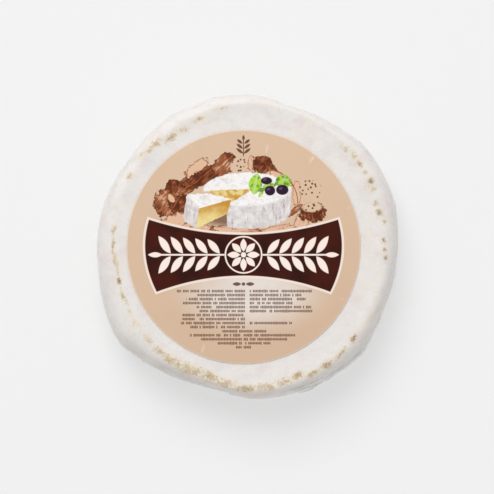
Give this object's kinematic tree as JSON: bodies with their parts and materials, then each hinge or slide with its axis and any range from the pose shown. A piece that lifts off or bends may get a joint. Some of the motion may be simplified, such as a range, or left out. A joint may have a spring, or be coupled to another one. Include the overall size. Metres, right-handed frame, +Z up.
{
  "type": "cheese wheel",
  "caption": "Whole soft white-rind cheese wheel, slightly out of round, in a thin clear film wrap with a round printed paper label on its flat top.",
  "frame": {"origin": "centre of the underside's footprint, on the surface that the wheel stands on", "axes": "+Z up through the flat top and the label; +Y towards the top edge of the label's picture; +X to the right of the picture as it is read from above"},
  "size_m": [0.1558, 0.1574, 0.0342],
  "materials": {
    "rind": "soft white mould bloom, matte, with an ochre and brown speckled ring at the shoulder",
    "film": "thin clear stretched food film, faintly shiny at its creases",
    "label": null
  },
  "bodies": {
    "root": {"cheese_wheel": "rind", "film_wrap": "film", "paper_label": "label"}
  },
  "joints": []
}
